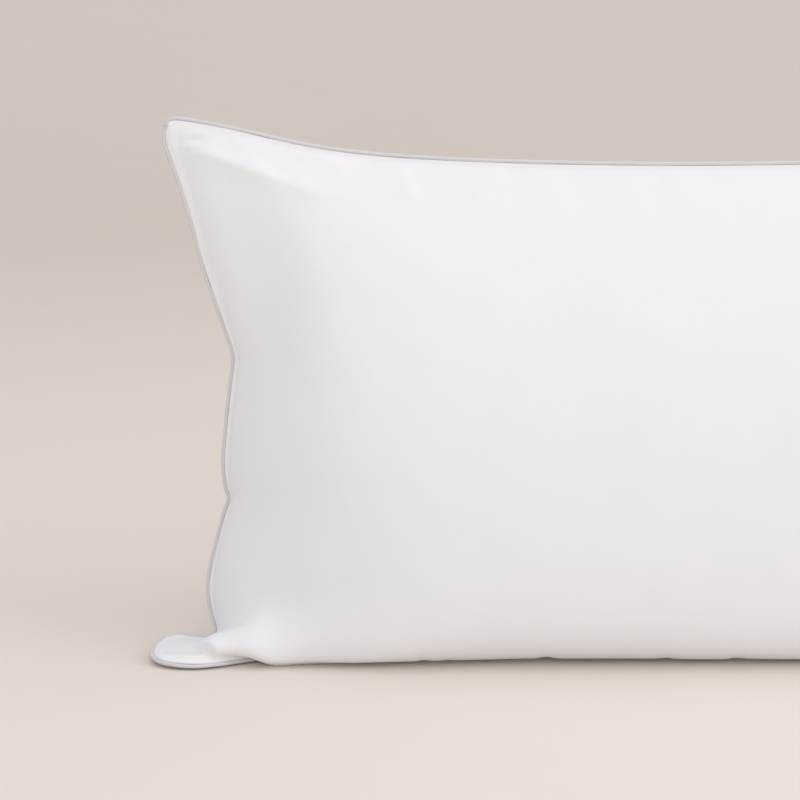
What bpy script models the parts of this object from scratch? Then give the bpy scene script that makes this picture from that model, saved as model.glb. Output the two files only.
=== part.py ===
"""King-size bed pillow with a piped edge, standing upright on one long edge.

Two fabric panels are sewn face to face around their edges, with a piping strip caught in the
seam, and hold one mass of loose fibre. The pillow leans back a little and rests on a flattened
underside. One lower corner has slipped forward and lies flat as an ear.

Frame: X along the length, Y through the thickness with the front facing -Y, Z up. The origin
is on the floor under the middle of the pillow.

Every piece is either a grid over the pillow's two faces, or a section swept around the seam.
Both use the same stations around the seam, so the gaps between the pieces stay even.
"""

import math

import bmesh
import bpy
from mathutils import Vector

# Driving dimensions, in metres
PANEL_LENGTH = 0.914
PANEL_HEIGHT = 0.508
THICKNESS = 0.168
TOP_SEAM_HEIGHT = 0.434
BOTTOM_SEAM_HEIGHT = 0.0052
FABRIC = 0.0005
SEAM_ALLOWANCE = 0.010

# Where the seams lie in depth: the pillow leans back, so the top seam is behind the bottom one
TOP_SEAM_Y = 0.026
BOTTOM_SEAM_Y = -0.014

# How far the side seams' and long seams' own shapes reach into the faces
SIDE_REACH = 0.20
EDGE_REACH = 0.17

# The slipped ear is flatter than the rest: how much thinner, and how far that reaches
EAR_FLATNESS = 0.55
EAR_REACH_ALONG = 0.150
EAR_REACH_UP = 0.090

# The filling: how wide the edge is over which it swells, and where up the panel it is fullest
SWELL_WIDTH = 0.25
FULLNESS_BELOW = 0.45
FULLNESS_ABOVE = 0.85
SINK = 0.040
SINK_START = 0.010

# The grid over each face: cells along and up, and the share of even spacing
CELLS_ALONG = 26
CELLS_UP = 18
FIRST_CELL = 0.0145

# Piping: a cord in a folded bias strip, whose two flanges run back into the seam
CORD_RADIUS = 0.0009
PIPING_RADIUS = 0.0018
PIPING_BORE = 0.0014
PIPING_OFFSET = 0.0027
FLANGE_OUTSIDE = 0.00045
FLANGE_INSIDE = 0.00015
FLANGE_END = -SEAM_ALLOWANCE

# Panel edge: heights of the turned-in allowance and of the face above the seam's middle
ALLOWANCE_LOW = 0.00085
ALLOWANCE_HIGH = 0.00135
FACE_AT_FOLD = 0.00215
SHOULDER_IN = 0.0012
SHOULDER_HIGH = 0.0030
FACE_CLEAR = 0.0034
FILL_GAP = 0.0005
GROOVE = 0.004

# Threads
THREAD_SIDE = 0.00036
STITCH_IN = 0.0017
STITCH_LEVEL = 0.00186
CLOSING_IN = 0.0062
CLOSING_STATIONS = 7

# Side seam, from the top ear down to the middle of the bottom ear's tip:
# inset from the end of the panel, depth, height, roll of the seam (0 = its front faces -Y)
LEFT_SEAM = [
    (0.0095, 0.025, 0.4690, 0),
    (0.0050, 0.025, 0.4600, 0),
    (0.0070, 0.024, 0.4410, 0),
    (0.0200, 0.022, 0.4050, 0),
    (0.0315, 0.020, 0.3690, 0),
    (0.0405, 0.018, 0.3330, 0),
    (0.0545, 0.015, 0.2970, 0),
    (0.0655, 0.013, 0.2640, 0),
    (0.0640, 0.012, 0.2310, 0),
    (0.0592, 0.010, 0.1860, 0),
    (0.0585, 0.009, 0.1600, 0),
    (0.0620, 0.008, 0.1360, 2),
    (0.0560, 0.008, 0.1110, 9),
    (0.0490, 0.009, 0.0820, 17),
    (0.0450, 0.011, 0.0570, 25),
    (0.0420, 0.013, 0.0380, 33),
    (0.0360, 0.014, 0.0250, 42),
    (0.0255, 0.012, 0.0170, 51),
    (0.0130, 0.007, 0.0120, 60),
    (0.0030, -0.007, 0.0092, 62),
    (-0.0010, -0.024, 0.0074, 62),
]
# Bottom seam, from the left ear's tip to the right one: distance from the middle
BOTTOM_SEAM = [
    (-0.4560, -0.040, 0.0064, 58),
    (-0.4460, -0.055, 0.0060, 53),
    (-0.4240, -0.066, 0.0060, 46),
    (-0.3960, -0.070, 0.0058, 38),
    (-0.3640, -0.064, 0.0058, 31),
    (-0.3260, -0.051, 0.0056, 23),
    (-0.2800, -0.036, 0.0054, 14),
    (-0.2200, -0.023, BOTTOM_SEAM_HEIGHT, 6),
    (-0.1500, BOTTOM_SEAM_Y - 0.001, BOTTOM_SEAM_HEIGHT, 2),
    (-0.0600, BOTTOM_SEAM_Y, BOTTOM_SEAM_HEIGHT, 0),
    (0.0600, BOTTOM_SEAM_Y, BOTTOM_SEAM_HEIGHT, 0),
    (0.2000, BOTTOM_SEAM_Y, BOTTOM_SEAM_HEIGHT, 0),
    (0.3300, BOTTOM_SEAM_Y + 0.001, 0.0056, 0),
    (0.4000, BOTTOM_SEAM_Y + 0.003, 0.0070, 0),
    (0.4300, BOTTOM_SEAM_Y + 0.004, 0.0095, 0),
]
# Right side seam, from the bottom ear up to the top one, listed as the left one is
RIGHT_SEAM = [
    (0.0070, -0.009, 0.0150, 0),
    (-0.0012, -0.008, 0.0270, 0),
    (0.0024, -0.007, 0.0480, 0),
    (0.0190, -0.005, 0.0850, 0),
    (0.0340, -0.002, 0.1280, 0),
    (0.0430, 0.002, 0.1760, 0),
    (0.0440, 0.006, 0.2180, 0),
    (0.0480, 0.010, 0.2560, 0),
    (0.0450, 0.014, 0.2950, 0),
    (0.0350, 0.018, 0.3400, 0),
    (0.0210, 0.021, 0.3850, 0),
    (0.0054, 0.024, 0.4260, 0),
    (-0.0012, 0.025, 0.4480, 0),
    (0.0042, 0.025, 0.4640, 0),
]
# The top seam dips between its ears: (rise, reach) of each part of the dip, and its samples
LEFT_EAR_RISE = ((0.0262, 0.106), (0.0145, 0.265))
RIGHT_EAR_RISE = ((0.0200, 0.095), (0.0135, 0.250))
TOP_SEAM_FROM = 0.018
TOP_SEAM_STEP = 0.044


def catmull_rom(a, b, c, d, t):
    """The point at t between b and c, for rows of any length."""
    return [
        0.5 * (2 * q + (r - p) * t + (2 * p - 5 * q + 4 * r - s) * t**2 + (3 * q - p - 3 * r + s) * t**3)
        for p, q, r, s in zip(a, b, c, d)
    ]


def top_seam_height(x):
    """Height of the top seam at x: level in the middle, rising to the ears."""
    half = PANEL_LENGTH / 2
    left = sum(rise * math.exp(-(((x + half) / reach) ** 2)) for rise, reach in LEFT_EAR_RISE)
    right = sum(rise * math.exp(-(((half - x) / reach) ** 2)) for rise, reach in RIGHT_EAR_RISE)
    return TOP_SEAM_HEIGHT + left + right


def seam_corners_and_points():
    """Waypoints of the closed seam, and the index of each of the panel's four corners."""
    half = PANEL_LENGTH / 2
    left = [(inset - half, y, z, roll) for inset, y, z, roll in LEFT_SEAM]
    right = [(half - inset, y, z, roll) for inset, y, z, roll in RIGHT_SEAM]
    count = round((PANEL_LENGTH - 2 * TOP_SEAM_FROM) / TOP_SEAM_STEP)
    span = half - TOP_SEAM_FROM
    xs = [span - 2 * span * k / count for k in range(count + 1)]
    top = [(x, TOP_SEAM_Y, top_seam_height(x), 0) for x in xs]
    points = left + BOTTOM_SEAM + right + top
    bottom_start = len(left)
    right_start = bottom_start + len(BOTTOM_SEAM)
    top_corner = right_start + len(right) - 1
    return points, (0, bottom_start, right_start, top_corner)


def resampled(points, first, last, shares):
    """Rows at the given shares of the way along the closed spline from one waypoint to another."""
    fine, count = [], len(points)
    pieces = 12
    span = (last - first) % count or count
    for k in range(span):
        rows = [points[(first + k + step) % count] for step in (-1, 0, 1, 2)]
        fine += [catmull_rom(*rows, t / pieces) for t in range(pieces)]
    fine.append(list(points[last % count]))
    along = [0.0]
    for a, b in zip(fine, fine[1:]):
        along.append(along[-1] + math.dist(a[:3], b[:3]))
    rows, k = [], 0
    for share in shares:
        target = share * along[-1]
        while k < len(fine) - 2 and along[k + 1] < target:
            k += 1
        t = (target - along[k]) / (along[k + 1] - along[k])
        rows.append([p + (q - p) * t for p, q in zip(fine[k], fine[k + 1])])
    return rows


def spacing(cells, length):
    """Shares from 0 to 1 whose end cells have the size FIRST_CELL, and widen to the middle."""
    even = 1 / cells
    rounded = (1 - math.cos(math.pi / cells)) / 2
    mix = (even - FIRST_CELL / length) / (even - rounded)
    return [
        (1 - mix) * k * even + mix * (1 - math.cos(math.pi * k * even)) / 2
        for k in range(cells + 1)
    ]


class Station:
    """A place on the seam: its point, and which ways are outward and to the front."""

    def __init__(self, row, before, after):
        roll = math.radians(row[3])
        self.point = Vector(row[:3])
        tangent = (Vector(after[:3]) - Vector(before[:3])).normalized()
        front = Vector((0, -math.cos(roll), math.sin(roll)))
        self.front = (front - tangent * front.dot(tangent)).normalized()
        self.out = tangent.cross(self.front)

    def at(self, out, front):
        return self.point + self.out * out + self.front * front


def seam_stations():
    """Stations around the whole seam: down the left side, along the bottom, up, and back."""
    points, corners = seam_corners_and_points()
    up, along = spacing(CELLS_UP, PANEL_HEIGHT), spacing(CELLS_ALONG, PANEL_LENGTH)
    rows = []
    for side, shares in enumerate((up, along, up, along)):
        last = corners[(side + 1) % 4]
        rows += resampled(points, corners[side], last, shares)[:-1]
    return [Station(row, rows[k - 1], rows[(k + 1) % len(rows)]) for k, row in enumerate(rows)]


STATIONS = seam_stations()
ALONG = spacing(CELLS_ALONG, PANEL_LENGTH)
UP = spacing(CELLS_UP, PANEL_HEIGHT)


def boundary_index(i, j):
    """The station at cell corner (i, j), or None inside the panel."""
    if i == 0:
        return CELLS_UP - j
    if j == 0:
        return CELLS_UP + i
    if i == CELLS_ALONG:
        return CELLS_UP + CELLS_ALONG + j
    if j == CELLS_UP:
        return (2 * CELLS_UP + 2 * CELLS_ALONG - i) % len(STATIONS)
    return None


def fade(distance, reach):
    """1 at a seam, falling smoothly to 0 at its reach."""
    return (1 + math.cos(math.pi * min(1.0, distance / reach))) / 2


def base_frame(i, j):
    """Middle surface and front direction before the seams' own shapes are added."""
    t = UP[j]
    point = Vector(
        (
            (ALONG[i] - 0.5) * PANEL_LENGTH,
            BOTTOM_SEAM_Y + (TOP_SEAM_Y - BOTTOM_SEAM_Y) * t,
            BOTTOM_SEAM_HEIGHT + (TOP_SEAM_HEIGHT - BOTTOM_SEAM_HEIGHT) * t,
        )
    )
    lean = math.atan2(TOP_SEAM_Y - BOTTOM_SEAM_Y, TOP_SEAM_HEIGHT - BOTTOM_SEAM_HEIGHT)
    return point, Vector((0, -math.cos(lean), math.sin(lean)))


def correction(i, j):
    """How far the seam at boundary corner (i, j) is from the base surface and direction."""
    station = STATIONS[boundary_index(i, j)]
    point, front = base_frame(i, j)
    return station.point - point, station.front - front


def middle(i, j):
    """Middle surface and front direction at cell corner (i, j): the base, pulled to the seams."""
    point, front = base_frame(i, j)
    beside = [
        (fade(ALONG[i] * PANEL_LENGTH, SIDE_REACH), 0),
        (fade((1 - ALONG[i]) * PANEL_LENGTH, SIDE_REACH), CELLS_ALONG),
    ]
    above = [
        (fade(UP[j] * PANEL_HEIGHT, EDGE_REACH), 0),
        (fade((1 - UP[j]) * PANEL_HEIGHT, EDGE_REACH), CELLS_UP),
    ]
    parts = [(share, edge, j) for share, edge in beside]
    parts += [(share, i, edge) for share, edge in above]
    parts += [(-a * b, edge, end) for a, edge in beside for b, end in above]
    for share, at_i, at_j in parts:
        move, turn = correction(at_i, at_j)
        point = point + move * share
        front = front + turn * share
    return point, front.normalized()


def swelling(i, j):
    """Half thickness of the filling at cell corner (i, j)."""
    from_end = min(ALONG[i], 1 - ALONG[i]) * PANEL_LENGTH
    end = math.sqrt(max(0.0, 1 - max(0.0, 1 - from_end / SWELL_WIDTH) ** 2)) ** 1.15
    t = UP[j]
    fullest = FULLNESS_BELOW / (FULLNESS_BELOW + FULLNESS_ABOVE)
    peak = fullest**FULLNESS_BELOW * (1 - fullest) ** FULLNESS_ABOVE
    full = THICKNESS / 2 * end * t**FULLNESS_BELOW * (1 - t) ** FULLNESS_ABOVE / peak
    along, up = ALONG[i] * PANEL_LENGTH / EAR_REACH_ALONG, t * PANEL_HEIGHT / EAR_REACH_UP
    return full * (1 - EAR_FLATNESS * math.exp(-(along**2) - up**2))


def face_point(i, j, side):
    """Outside of the fabric at an inner cell corner. side is 1 on the front and -1 on the back."""
    point, front = middle(i, j)
    half = swelling(i, j)
    up = UP[j] * PANEL_HEIGHT
    sunk = min(1.0, up / SINK_START) * max(0.0, 1 - UP[j] / 0.6) * min(1.0, half / 0.030)
    if side > 0:
        # The belly stays up over the slipped ear
        sunk *= min(1.0, max(0.0, ALONG[i] * PANEL_LENGTH / EAR_REACH_ALONG - 0.9))
    place = point + front * (side * (half + FACE_CLEAR))
    place.z = max(0.0, place.z - SINK * sunk)
    return place


def new_object(name, vertices, faces, material):
    mesh = bpy.data.meshes.new(name)
    mesh.from_pydata([tuple(v) for v in vertices], [], faces)
    work = bmesh.new()
    work.from_mesh(mesh)
    bmesh.ops.triangulate(work, faces=work.faces[:], quad_method="SHORT_EDGE")
    bmesh.ops.recalc_face_normals(work, faces=work.faces[:])
    if work.calc_volume(signed=True) < 0:
        bmesh.ops.reverse_faces(work, faces=work.faces[:])
    work.to_mesh(mesh)
    work.free()
    mesh.shade_smooth()
    mesh.set_sharp_from_angle(angle=math.radians(50))
    mesh.materials.append(material)
    piece = bpy.data.objects.new(name, mesh)
    bpy.context.scene.collection.objects.link(piece)
    return piece


def material(name, colour, roughness):
    made = bpy.data.materials.new(name)
    made.use_nodes = True
    shader = made.node_tree.nodes["Principled BSDF"]
    shader.inputs["Base Color"].default_value = (*colour, 1)
    shader.inputs["Roughness"].default_value = roughness
    shader.inputs["Metallic"].default_value = 0.0
    return made


def inner_corners():
    return [(i, j) for i in range(1, CELLS_ALONG) for j in range(1, CELLS_UP)]


def ring_corners(inset):
    """Cell corners around the panel at a number of cells from its edge, in station order."""
    low_i, high_i, low_j, high_j = inset, CELLS_ALONG - inset, inset, CELLS_UP - inset
    ring = [(low_i, j) for j in range(high_j, low_j, -1)]
    ring += [(i, low_j) for i in range(low_i, high_i)]
    ring += [(high_i, j) for j in range(low_j, high_j)]
    ring += [(i, high_j) for i in range(high_i, low_i, -1)]
    return ring


def offset_inward(places, side, distance):
    """The face's grid moved in by a distance along its normals. places maps (i, j) to points."""
    moved = {}
    for i, j in inner_corners():
        across = places[(i + 1, j)] - places[(i - 1, j)]
        upward = places[(i, j + 1)] - places[(i, j - 1)]
        normal = upward.cross(across).normalized() * side
        moved[(i, j)] = places[(i, j)] + normal * distance
    return moved


def face_grid(side):
    """Outer places of one face's fabric, with the turned edge's shoulder as its outermost ring."""
    places = {(i, j): face_point(i, j, side) for i, j in inner_corners()}
    for i, j in ring_corners(0):
        station = STATIONS[boundary_index(i, j)]
        places[(i, j)] = station.at(-SHOULDER_IN, side * SHOULDER_HIGH)
    return places


def grid_faces(index):
    """Two triangles over every cell, cut across the way to its nearest ear. Only triangles whose
    corners are all in the index are made."""
    faces = []
    for i in range(CELLS_ALONG):
        for j in range(CELLS_UP):
            a, b, c, d = (i, j), (i + 1, j), (i + 1, j + 1), (i, j + 1)
            falling = (i < CELLS_ALONG / 2) == (j < CELLS_UP / 2)
            for corners in ((a, b, d), (b, c, d)) if falling else ((a, b, c), (a, c, d)):
                if all(corner in index for corner in corners):
                    faces.append([index[corner] for corner in corners])
    return faces


def sweep_faces(section, here, there, closed):
    """Triangles between two copies of a section. Every cut runs outward from here to there,
    so the faces of nested pieces stay parallel where the seam twists."""
    faces = []
    for row in range(len(section) if closed else len(section) - 1):
        after = (row + 1) % len(section)
        near, far = (row, after) if section[row][0] < section[after][0] else (after, row)
        faces += [(here + near, here + far, there + far), (here + near, there + far, there + near)]
    return faces


def panel(name, side, fabric):
    """One fabric panel: its face, the fold at the seam line and the allowance turned inside."""
    outer = face_grid(side)
    inner = offset_inward(outer, side, FABRIC)
    vertices, index_outer, index_inner = [], {}, {}
    for corner in inner_corners():
        index_outer[corner] = len(vertices)
        vertices.append(outer[corner])
        index_inner[corner] = len(vertices)
        vertices.append(inner[corner])
    # The turned edge in section, from the outside shoulder round to the inside one
    section = [
        (-SHOULDER_IN, SHOULDER_HIGH),
        (0.0, FACE_AT_FOLD),
        (0.0005, (FACE_AT_FOLD + ALLOWANCE_LOW) / 2),
        (0.0, ALLOWANCE_LOW),
        (-SEAM_ALLOWANCE, ALLOWANCE_LOW),
        (-SEAM_ALLOWANCE, ALLOWANCE_HIGH),
        (-STITCH_IN * 2, ALLOWANCE_HIGH),
        (-0.0002, ALLOWANCE_HIGH),
        (-0.0002, FACE_AT_FOLD - FABRIC),
        (-SHOULDER_IN - 0.0001, SHOULDER_HIGH - FABRIC),
    ]
    edge = ring_corners(0)
    start = len(vertices)
    for corner in edge:
        station = STATIONS[boundary_index(*corner)]
        vertices += [station.at(out, side * front) for out, front in section]
    for k, corner in enumerate(edge):
        index_outer[corner] = start + k * len(section)
        index_inner[corner] = start + (k + 1) * len(section) - 1
    faces = grid_faces(index_outer) + grid_faces(index_inner)
    for k in range(len(edge)):
        here, there = start + k * len(section), start + (k + 1) % len(edge) * len(section)
        faces += sweep_faces(section, here, there, False)
    return new_object(name, vertices, faces, fabric)


def filling(name, look):
    """The fibre mass: everything inside the two faces, clear of the turned-in allowances."""
    ends = [(i, j) for i in (1, CELLS_ALONG - 1) for j in (1, CELLS_UP - 1)]
    vertices, indexes = [], []
    for side in (1, -1):
        inside = offset_inward(face_grid(side), side, FABRIC + FILL_GAP)
        index = {}
        for corner in inner_corners():
            if corner in ends:
                continue
            index[corner] = len(vertices)
            vertices.append(inside[corner])
        indexes.append(index)
    faces = grid_faces(indexes[0]) + grid_faces(indexes[1])
    # The rim is grooved along its middle, where the seam's allowances reach in
    rim, groove = [corner for corner in ring_corners(1) if corner not in ends], {}
    for corner in rim:
        groove[corner] = len(vertices)
        place = middle(*corner)[0]
        seam = min((station.point for station in STATIONS), key=lambda p: (p - place).length)
        vertices.append(place + (place - seam).normalized() * GROOVE)
    for a, b in zip(rim, rim[1:] + rim[:1]):
        faces.append([indexes[0][a], indexes[0][b], groove[b], groove[a]])
        faces.append([groove[a], groove[b], indexes[1][b], indexes[1][a]])
    return new_object(name, vertices, faces, look)


def swept(name, section, look, stations=None):
    """A closed section of (out, front) points, swept round the seam or along part of it."""
    closed = stations is None
    stations = STATIONS if closed else stations
    vertices = [station.at(out, front) for station in stations for out, front in section]
    size, faces = len(section), []
    for k in range(len(stations) if closed else len(stations) - 1):
        faces += sweep_faces(section, k * size, (k + 1) % len(stations) * size, True)
    if not closed:
        faces.append(list(range(size)))
        faces.append(list(range(len(vertices) - size, len(vertices))))
    return new_object(name, vertices, faces, look)


def arc(radius, start, end, points):
    """Points of an arc about the piping's centre, angles in degrees from straight outward."""
    angles = [math.radians(start + (end - start) * k / (points - 1)) for k in range(points)]
    return [(PIPING_OFFSET + radius * math.cos(a), radius * math.sin(a)) for a in angles]


def piping_section():
    """The bias strip: round the cord, with its two flanges side by side in the seam."""
    outside = 180 - math.degrees(math.asin(FLANGE_OUTSIDE / PIPING_RADIUS))
    inside = 180 - math.degrees(math.asin(FLANGE_INSIDE / PIPING_BORE))
    section = [(FLANGE_END, FLANGE_OUTSIDE)]
    section += arc(PIPING_RADIUS, outside, -outside, 8)
    section += [(FLANGE_END, -FLANGE_OUTSIDE), (FLANGE_END, -FLANGE_INSIDE)]
    section += arc(PIPING_BORE, -inside, inside, 7)
    section += [(FLANGE_END, FLANGE_INSIDE)]
    return section


def square(out, front, side):
    half = side / 2
    return [(out + a * half, front + b * half) for a, b in ((1, 1), (-1, 1), (-1, -1), (1, -1))]


def main():
    for old in list(bpy.data.objects):
        bpy.data.objects.remove(old)
    cotton = material("white_cotton", (0.86, 0.86, 0.87), 0.85)
    grey_strip = material("grey_piping_cotton", (0.55, 0.54, 0.53), 0.7)
    cord = material("undyed_cord", (0.80, 0.77, 0.70), 0.9)
    fibre = material("white_fibre", (0.90, 0.90, 0.89), 1.0)
    thread = material("white_thread", (0.88, 0.88, 0.88), 0.6)

    panel("front_panel", 1, cotton)
    panel("back_panel", -1, cotton)
    filling("fibre_filling", fibre)
    swept("piping_strip", piping_section(), grey_strip)
    swept("piping_cord", arc(CORD_RADIUS, 0, 300, 6), cord)
    swept("needle_thread", square(-STITCH_IN, STITCH_LEVEL, THREAD_SIDE), thread)
    swept("bobbin_thread", square(-STITCH_IN, -STITCH_LEVEL, THREAD_SIDE), thread)
    middle_of_right_side = CELLS_UP + CELLS_ALONG + CELLS_UP // 2
    reach = CLOSING_STATIONS // 2
    opening = STATIONS[middle_of_right_side - reach : middle_of_right_side + reach + 1]
    swept("closing_thread", square(-CLOSING_IN, STITCH_LEVEL, THREAD_SIDE), thread, opening)


main()
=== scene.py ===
"""Looks of a king-size bed pillow with a piped seam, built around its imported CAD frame.

The cover is simulated as one closed cloth: two flat-cut panels joined all round, held at the
seam and blown out by the filling. Everything at the seam is then built on the same stations:
the panels' turned-in edges, the piping with its cord, and the stitches.
"""

import math

import bmesh
import bpy
import numpy as np
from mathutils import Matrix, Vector, noise


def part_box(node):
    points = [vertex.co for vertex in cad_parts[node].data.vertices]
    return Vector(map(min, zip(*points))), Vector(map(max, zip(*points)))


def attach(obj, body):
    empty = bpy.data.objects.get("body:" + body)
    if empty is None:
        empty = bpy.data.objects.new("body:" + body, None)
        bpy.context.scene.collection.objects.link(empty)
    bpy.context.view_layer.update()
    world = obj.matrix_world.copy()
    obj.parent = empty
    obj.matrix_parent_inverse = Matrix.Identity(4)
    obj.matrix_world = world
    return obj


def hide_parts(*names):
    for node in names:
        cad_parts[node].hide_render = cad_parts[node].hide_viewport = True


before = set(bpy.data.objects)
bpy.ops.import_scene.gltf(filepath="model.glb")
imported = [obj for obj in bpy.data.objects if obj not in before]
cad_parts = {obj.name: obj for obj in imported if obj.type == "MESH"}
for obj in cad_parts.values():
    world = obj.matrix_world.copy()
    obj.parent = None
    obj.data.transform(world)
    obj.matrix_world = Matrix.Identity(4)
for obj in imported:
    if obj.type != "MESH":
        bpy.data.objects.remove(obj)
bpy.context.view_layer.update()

# Flat panels, the cloth they are cut from, and the middle line of the seam between them
PANEL_LENGTH = 0.914
PANEL_HEIGHT = 0.508
FABRIC = 0.0005
SEAM_ALLOWANCE = 0.010
TOP_SEAM_HEIGHT = 0.434
BOTTOM_SEAM_HEIGHT = 0.0052
TOP_SEAM_Y = 0.026
BOTTOM_SEAM_Y = -0.014
# How far into the panels the side seams and the long seams shape them
SIDE_REACH = 0.20
EDGE_REACH = 0.17

# The filling's swell: fullest low down, falling away over a length at each end
THICKNESS = 0.168
SWELL_WIDTH = 0.25
SWELL_POWER = 1.15
FULLNESS_BELOW = 0.45
FULLNESS_ABOVE = 0.85
ROWS_LOW = 1.6
# The belly's sink onto the floor past the bottom seam. It starts in from the slipped ear.
SINK = 0.040
SINK_START = 0.010
SINK_UP_TO = 0.6
SINK_THINNEST = 0.030
SINK_FROM = 0.062
SINK_WIDTH = 0.055
# The slipped ear is flatter than the rest
EAR_FLATNESS = 0.55
EAR_REACH = 0.090

# The simulated grid over each panel, and how long the filling blows it out
CELLS_ALONG = 118
CELLS_UP = 66
FRAMES = 36
# Cut size of the flat cloth, a little shorter than the real panel so it is drawn smooth
CUT_LENGTH = 0.884
CUT_HEIGHT = 0.516
# How far the cloth may move from its start shape, and how often it is smoothed after
MOST_MOVE = 0.014
SMOOTHING = 10
FLOOR_REACH = 1.2
CLOTH_GRAVITY = 0.3
CLOTH = dict(
    quality=6, mass=0.15, vertex_group_mass="seam", pin_stiffness=4, fluid_density=0.0,
    tension_stiffness=40, compression_stiffness=20, shear_stiffness=8, bending_stiffness=0.6,
    tension_damping=12, compression_damping=12, shear_damping=8, air_damping=4,
    use_pressure=True, uniform_pressure_force=6.0, use_pressure_volume=False,
)

# The finished panels' grid, finer at the seams, and how crowded its edges are
FINE_ALONG = 216
FINE_UP = 126
CROWDING = 0.55
PIPING_ALONG = 380
PIPING_UP = 220

# Seam in section: outward and front offsets from its middle line
PIPING_RADIUS = 0.0018
PIPING_OFFSET = 0.0027
PIPING_WALL = 0.0004
CORD_RADIUS = 0.0011
FLANGE_OUTSIDE = 0.00045
FLANGE_INSIDE = 0.00015
ALLOWANCE_LOW = 0.00085
ALLOWANCE_HIGH = 0.00135
FACE_AT_FOLD = 0.0018
FOLD_REACH = 0.008
# The piping's drift from its line: how far, how often each way, and settled at its ends
PIPING_DRIFT = 0.00035
DRIFT_OUT_PITCH = 0.021
DRIFT_FRONT_PITCH = 0.027
DRIFT_CLOSING = 0.020
# The fold's rounded nose: how far out it stands, its first step out, and its inner wall
FOLD_OUT = 0.0011
FOLD_STEP = 0.0006
FOLD_FOOT = 0.0007
FOLD_INNER = -0.0002
# Beside the seam the cloth leaves it at this slope, over this distance
LEAVING_REACH = 0.0050
LEAVING_RISE = 0.18
# The least gap between the covers, reached this far in from the seam
LEAST_GAP = 0.0035
LEAST_GAP_REACH = 0.006
LEAST_GAP_PASSES = 6

# Stitches: their length, place and thread, and the closing seam's zigzag (out, front)
STITCH = 0.0025
STITCH_IN = 0.0015
STITCH_TOP = 0.00158
STITCH_LOW = 0.00125
THREAD_RADIUS = 0.00014
CLOSING_ZIGZAG = ((0.0006, 0.0020), (0.0012, 0.0012))

# The filling: depth under the covers, lumps, inset and rounding of its corners
FILL_SINK = 0.0018
FILL_SHARE = 0.35
FILL_LUMPS = 0.0008
FILL_PITCH = 0.022
FILL_RIM = 0.0115
FILL_GROOVE = 0.006
FILL_ROUNDING = 0.38
FILL_CELLS = (110, 64)

# Unevenness of the cloth: height, spacing of the bumps, and whether it reaches the seam
LUMPS = [
    (0.0011, 0.105, False),
    (0.00030, 0.038, False),
    (0.00008, 0.014, True),
]
LUMPS_FROM = 0.030
# Puckers beside the seam: height, spacing, how far in they reach and start, noise seed's shift
PUCKERS = [
    (0.00110, 0.0105, 0.009, 0.0015, 0),
    (0.00130, 0.034, 0.030, 0.005, 8),
]
PUCKER_STRETCH = 0.22
# Creases under the top seam: distance from the ear, slope and height
TOP_CREASES = [
    (0.060, 0.62, 0.0007),
    (0.100, 0.52, 0.0006),
    (0.148, 0.45, 0.0006),
    (0.206, 0.36, 0.0012),
    (0.268, 0.28, 0.0006),
    (0.345, 0.15, 0.0005),
    (0.420, 0.05, 0.0004),
]
CREASE_DOWN = 0.030
CREASE_SPREAD = 0.026
CREASE_ROUND = 0.0020
CREASE_REACH = 0.010
CREASE_FADE = (-0.030, 0.004)
CREASE_RIGHT_SHIFT = 1.07
CREASE_BACK_SHARE = 0.8
# Pinches where the left seam kinks in and at its foot: height up the panel, depth and reach
SIDE_PINCHES = [
    (0.312, 0.0026, 0.020),
    (0.193, 0.0018, 0.020),
    (0.085, 0.0032, 0.024),
]
PINCH_FROM = 0.003
PINCH_SLOPE = 0.06
PINCH_ROUND = 0.0012
PINCH_WIDTH = 0.0045
# The puffed cloth above each pinch: its share of the pinch, and its place and width
PINCH_CUFF = 0.5
PINCH_CUFF_UP = (0.013, 0.008)
# The top ear's ridge: height, start below the top seam, slope, bend, rounding, reach, ends
RIDGE_HEIGHT = 0.0062
RIDGE_DOWN = 0.012
RIDGE_SLOPE = 0.40
RIDGE_BEND = 1.2
RIDGE_ROUND = 0.0020
RIDGE_REACH = 0.015
RIDGE_FROM = 0.018
RIDGE_TO = 0.130
# Its hollow below the ridge, then the dip and the crinkles inside its tip
HOLLOW_DEPTH = 0.0080
HOLLOW_ALONG = (0.056, 0.044)
HOLLOW_DOWN = (0.120, 0.080)
TIP_ALONG = (0.022, 0.013)
TIP_DOWN = (0.015, 0.009)
TIP_DIP = 0.0022
CRINKLE_HEIGHT = 0.0011
CRINKLE_SLOPE = 0.15
CRINKLE_PITCH = 0.0095

# The slipped ear lies smooth over this distance from its corner
CALM_REACH = 0.050
CALM_PASSES = 24
# The belly's foot beside the slipped ear: place and width along, height, move forward and down
FOOT_ALONG = (-0.368, 0.032)
FOOT_HEIGHT = 0.040
FOOT_FORWARD = 0.012
FOOT_DOWN = 0.007
FOOT_FROM = 0.010
# The dip between the side seam's foot and the slipped ear: place and width along and in depth
DIP_ALONG = (-0.410, 0.026)
DIP_ACROSS = (-0.028, 0.024)
DIP_DEPTH = 0.009
DIP_FROM = 0.006
# The fold where the belly rolls over the slipped ear: its line on the floor, height and lean,
# and how it rises across the line, falls behind it and fades at its ends
EAR_FOLD_START = (-0.4215, -0.060)
EAR_FOLD_END = (-0.381, -0.078)
EAR_FOLD_HEIGHT = 0.0085
EAR_FOLD_LEAN = 0.85
EAR_FOLD_RISE = (-0.0005, 0.0036)
EAR_FOLD_TOP = 0.003
EAR_FOLD_FALL = 0.034
EAR_FOLD_FADE_IN = (-0.008, 0.018)
EAR_FOLD_FADE_OUT = 0.035
EAR_FOLD_FROM = 0.005
LOW_DOWN = 0.045
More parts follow.
